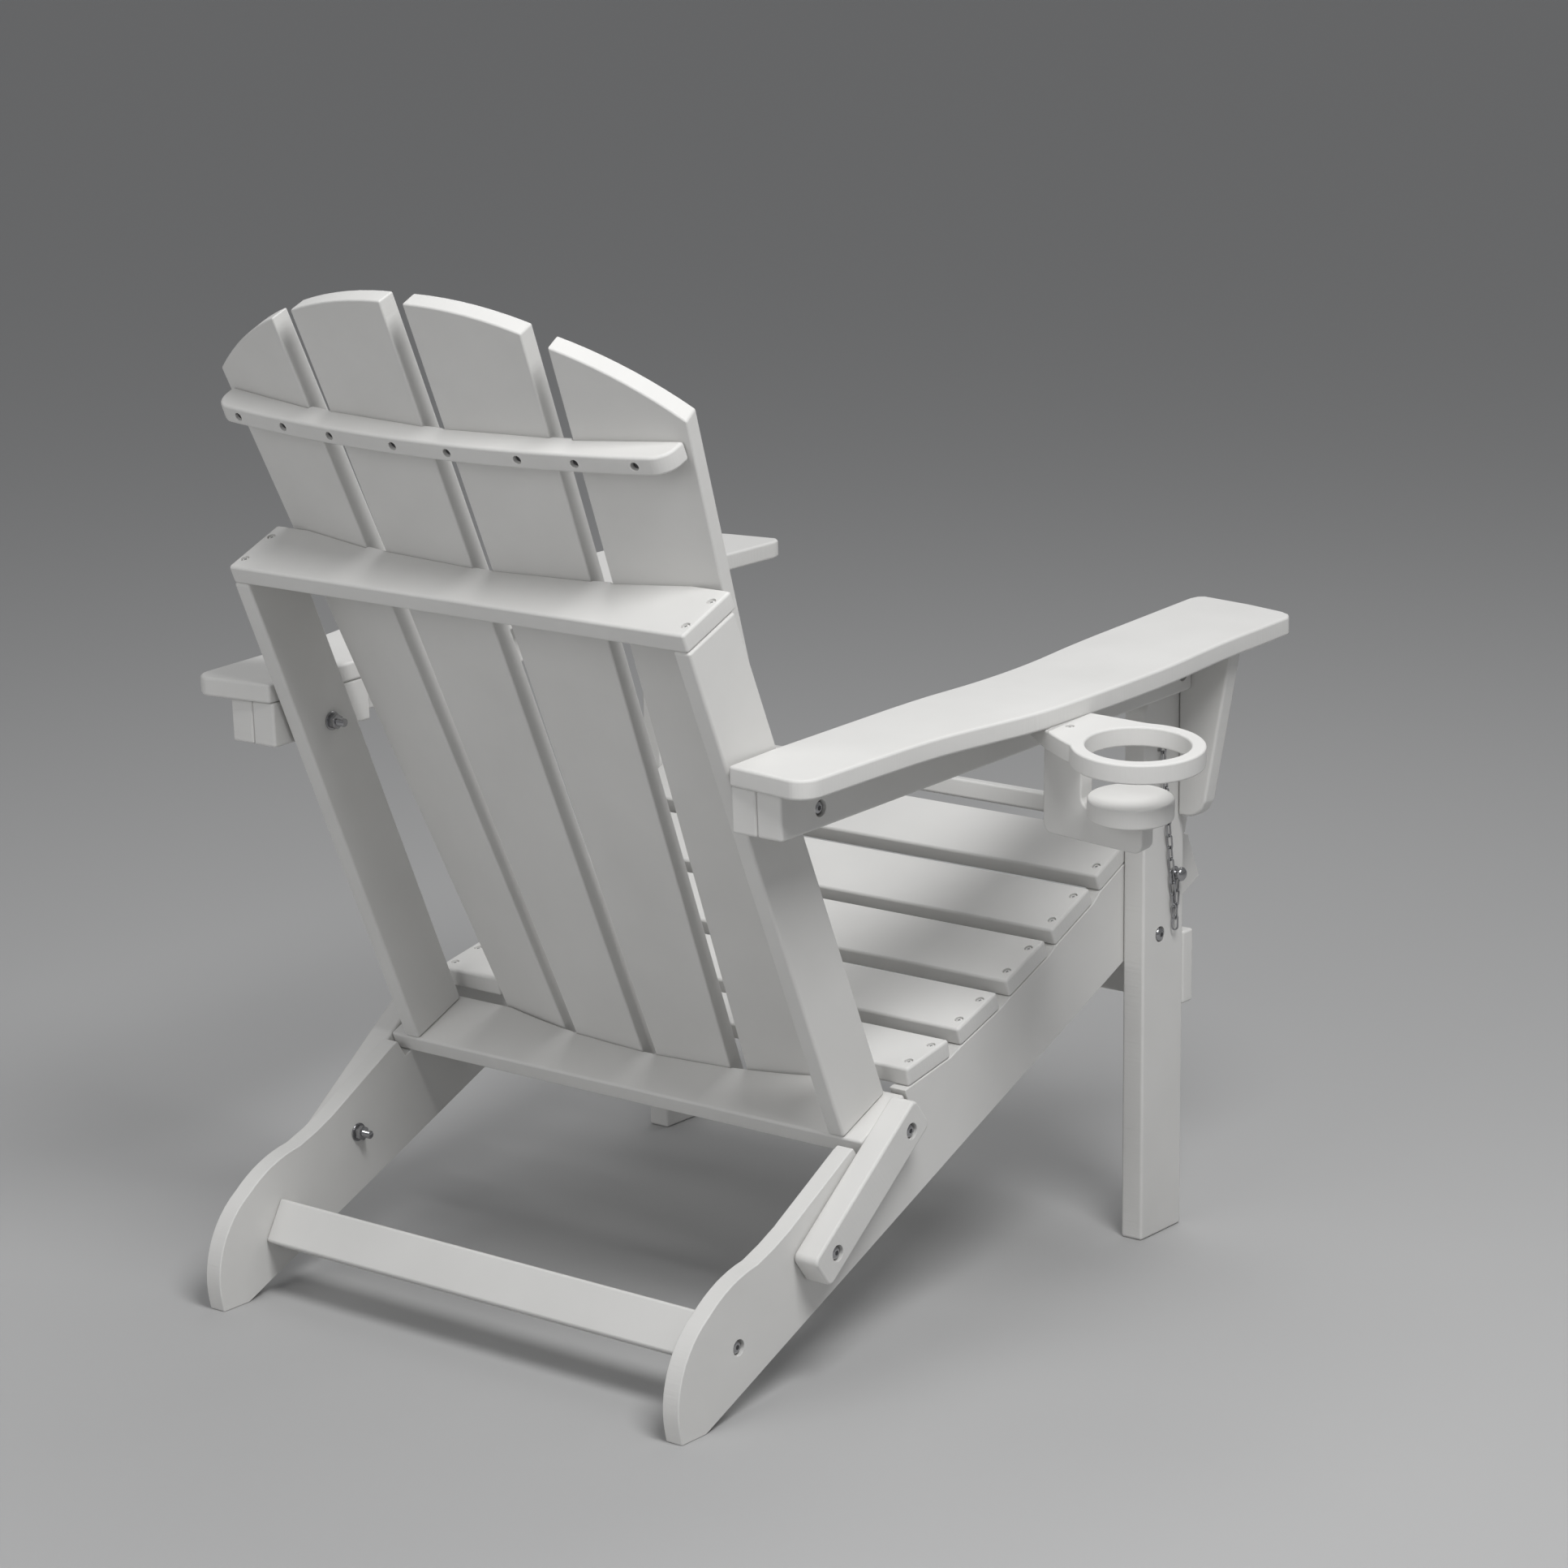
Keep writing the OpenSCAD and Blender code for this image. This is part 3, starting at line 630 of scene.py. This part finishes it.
def wire_eye(bm, centre, out):
    """A round eye that stands upright, square to the leg."""
    section = wire_section(bm, centre + out * EYE_R, UP, out)
    bmesh.ops.spin(bm, geom=section, cent=centre, axis=out.cross(UP), angle=2 * pi,
                   steps=EYE_STEPS, use_merge=True)
    weld_wire(bm, list(connected([g for g in section if isinstance(g, bmesh.types.BMVert)])))


def chain_link(bm, centre, along, across, pitch):
    """One oval link; its long way lies along the chain and its width across."""
    half = pitch / 2 + WIRE_R - LINK_BEND
    axis = along.cross(across)
    bend_centre = centre + along * half
    section = wire_section(bm, bend_centre - across * LINK_BEND, along, across)
    bend = bmesh.ops.spin(bm, geom=section, cent=bend_centre, axis=axis, angle=pi, steps=BEND_STEPS)
    end = [g for g in bend["geom_last"] if isinstance(g, bmesh.types.BMEdge)]
    straight = bmesh.ops.extrude_edge_only(bm, edges=end)["geom"]
    side_end = [g for g in straight if isinstance(g, bmesh.types.BMVert)]
    bmesh.ops.translate(bm, vec=along * -2 * half, verts=side_end)
    first_half = list(connected(side_end))
    faces = list({f for v in first_half for f in v.link_faces})
    copy = bmesh.ops.spin(bm, geom=faces, cent=centre, axis=axis, angle=pi, steps=1, use_duplicate=True)
    second_half = [g for g in copy["geom_last"] if isinstance(g, bmesh.types.BMVert)]
    weld_wire(bm, first_half + second_half)


print("a link is", round((LINK_PITCH + 4 * WIRE_R) / MM, 1), "mm long and",
      round(2 * (LINK_BEND + WIRE_R) / MM, 1), "mm wide")

# %% [markdown]
# The links lie in two straight rows, from the eye to the bend and from the bend to the neck of the
# pin, with the bottom link hanging below. Every second link is turned a quarter, which is how a
# chain lies when it is pulled. The places come from the boxes of the plain chain, leg and pin.

# %% Chains
OFF_THE_LEG = 4.4 * MM
EYE_INSET = (2.8 * MM, 3.9 * MM)
BEND_BEHIND_PIN = 3.5 * MM
BEND_HEIGHT = 13 * MM
NECK_R = 3.5 * MM
BOTTOM_DROP = 4.5 * MM


def chain_run(bm, start, end):
    """Links in a straight row between two points; returns how many."""
    count = max(1, round((end - start).length / LINK_PITCH))
    step = (end - start) / count
    along = step.normalized()
    flat = along.cross(SIDEWAYS).normalized()
    for k in range(count):
        chain_link(bm, start + step * (k + 0.5), along, SIDEWAYS if k % 2 else flat, step.length)
    return count


def chain_piece(node, leg, pin):
    """A chain from its eye on the leg to its pin; returns its number of links."""
    bm = bmesh.new()
    low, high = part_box(node)
    leg_low, leg_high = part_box(leg)
    pin_low, pin_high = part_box(pin)
    on_left = low[0] > CENTRE_X
    out = SIDEWAYS if on_left else Vector((-1, 0, 0))
    x = (leg_high[0] if on_left else leg_low[0]) + out.x * OFF_THE_LEG
    pin_y, pin_z = (pin_low[1] + pin_high[1]) / 2, (pin_low[2] + pin_high[2]) / 2
    eye = Vector((x, high[1] - EYE_INSET[0], high[2] - EYE_INSET[1]))
    bend = Vector((x, pin_y + BEND_BEHIND_PIN, low[2] + BEND_HEIGHT))
    neck = Vector((x, pin_y, pin_z - NECK_R))
    wire_eye(bm, eye, out)
    count = chain_run(bm, eye - UP * 2 * MM, bend) + chain_run(bm, bend, neck)
    chain_link(bm, bend - UP * BOTTOM_DROP, UP, Vector((1, 1, 0)).normalized(), LINK_PITCH)
    finish_steel(node, bm, [stainless])
    return count + 1


print("links:", chain_piece("pin_chain_left", "front_leg_left", "pull_pin_left"),
      chain_piece("pin_chain_right", "front_leg_right", "pull_pin_right"))

# %% [markdown]
# A retaining pin has a collar that rests on the leg, a thin neck the chain's last link hangs on, and a
# domed knob to pull. It is one spun profile, from the top of the knob down to the shaft's end.

# %% Retaining pins
KNOB = [(0, 12.9), (2.5, 12.7), (4.8, 11.9), (6.3, 10.6), (6.9, 9), (6.7, 7.6), (5.8, 7.05)]
NECK = [(3.4, 7.0), (3.4, 2.3)]
COLLAR = [(6.4, 2.25), (6.9, 1.8), (6.9, 0.8), (6.5, 0.35)]
SHAFT_R = 3.9
ABOVE_LEG = 13


def pin_piece(node):
    bm = bmesh.new()
    points = solids_of(node)[0]
    outward = SIDEWAYS * side_of(points)
    low, high = span(points, outward)
    centre = middle(points)
    base = Vector((outward.x * (high - ABOVE_LEG * MM), centre.y, centre.z))
    end = ABOVE_LEG + 0.1 - (high - low) / MM
    shaft = [(SHAFT_R, 0.35), (SHAFT_R, end), (0, end)]
    spun(bm, KNOB + NECK + COLLAR + shaft, Matrix.Translation(base) @ turned_to(outward))
    return finish_steel(node, bm, [stainless])


for node in ("pull_pin_left", "pull_pin_right"):
    print("made", pin_piece(node).name)

# %% [markdown]
# The spacers are plain short tubes hidden between the arm and the upright. Their plain solids are
# right as they are and only need the metal.

# %% Spacers
spacers = frame["nodes"]["arm_pivot_spacers"].data
spacers.materials.clear()
spacers.materials.append(stainless)
print("spacers:", len(spacers.polygons), "faces")

# %% [markdown]
# The chair stands on a plain pale floor, large enough to fill the view from any side.

# %% Floor
floor_grid = bmesh.new()
bmesh.ops.create_grid(floor_grid, x_segments=1, y_segments=1, size=60)
floor_mesh = bpy.data.meshes.new("floor")
floor_grid.to_mesh(floor_mesh)
floor_grid.free()
floor = bpy.data.objects.new("floor", floor_mesh)
bpy.context.scene.collection.objects.link(floor)
pale_floor, floor_tree, floor_shader = new_material("pale_floor", 0.8)
floor_shader.inputs["Base Color"].default_value = (0.42, 0.42, 0.42, 1)
floor_mesh.materials.append(pale_floor)
print("floor:", pale_floor.name)

# %% [markdown]
# The light is that of a studio: one soft lamp high over the cup holder's side, a weak fill from
# behind the chair, another from the front, and a pale sky all round. Large round lamps give shadows
# with soft edges, which show the rounds of the boards best.

# %% Light
world = bpy.data.worlds.new("studio")
world.use_nodes = True
sky = world.node_tree.nodes["Background"]
sky.inputs["Color"].default_value = (0.97, 0.98, 1.0, 1)
sky.inputs["Strength"].default_value = 0.28
bpy.context.scene.world = world


def soft_lamp(name, place, aim_height, size, power):
    """A round lamp that shines on a point over the middle of the floor."""
    light = bpy.data.lights.new(name, "AREA")
    light.shape = "DISK"
    light.size = size
    light.energy = power
    lamp = bpy.data.objects.new(name, light)
    lamp.location = place
    aim = Vector((0, 0, aim_height)) - Vector(place)
    lamp.rotation_euler = aim.to_track_quat("-Z", "Y").to_euler()
    bpy.context.scene.collection.objects.link(lamp)
    print("lamp:", name, power, "W")


soft_lamp("key", (-1.7, 0.9, 2.9), 0.4, 1.3, 72)
soft_lamp("fill", (0.4, 3.8, 1.8), 0.5, 2.4, 34)
soft_lamp("top", (0.5, -1.4, 3.2), 0.5, 2.0, 24)

# %% [markdown]
# The chair is seen from behind, over the sitter's right shoulder, with a long lens from about four
# metres, so its lines hardly converge. The camera's axes follow from its turn about the vertical,
# its rise over the horizon and its small roll.

# %% Camera
CAMERA_PLACE = Vector((-2.5311, 3.1865, 1.4653))
CAMERA_TURN = radians(218.370)
CAMERA_RISE = radians(13.779)
CAMERA_ROLL = radians(-0.666)
LENS_MM = 104.45
SENSOR_MM = 36
level = cos(CAMERA_RISE)
backward = Vector((sin(CAMERA_TURN) * level, -cos(CAMERA_TURN) * level, sin(CAMERA_RISE)))
level_right = Vector((cos(CAMERA_TURN), sin(CAMERA_TURN), 0))
level_up = backward.cross(level_right)
right = cos(CAMERA_ROLL) * level_right + sin(CAMERA_ROLL) * level_up
upward = -sin(CAMERA_ROLL) * level_right + cos(CAMERA_ROLL) * level_up
camera_data = bpy.data.cameras.new("camera")
camera_data.sensor_width = SENSOR_MM
camera_data.lens = LENS_MM
camera = bpy.data.objects.new("camera", camera_data)
camera_turn = Matrix((right, upward, backward)).transposed().to_4x4()
camera.matrix_world = Matrix.Translation(CAMERA_PLACE) @ camera_turn
bpy.context.scene.collection.objects.link(camera)
bpy.context.scene.camera = camera
bpy.context.scene.view_settings.view_transform = "Standard"
print("camera at", tuple(round(c, 3) for c in CAMERA_PLACE))
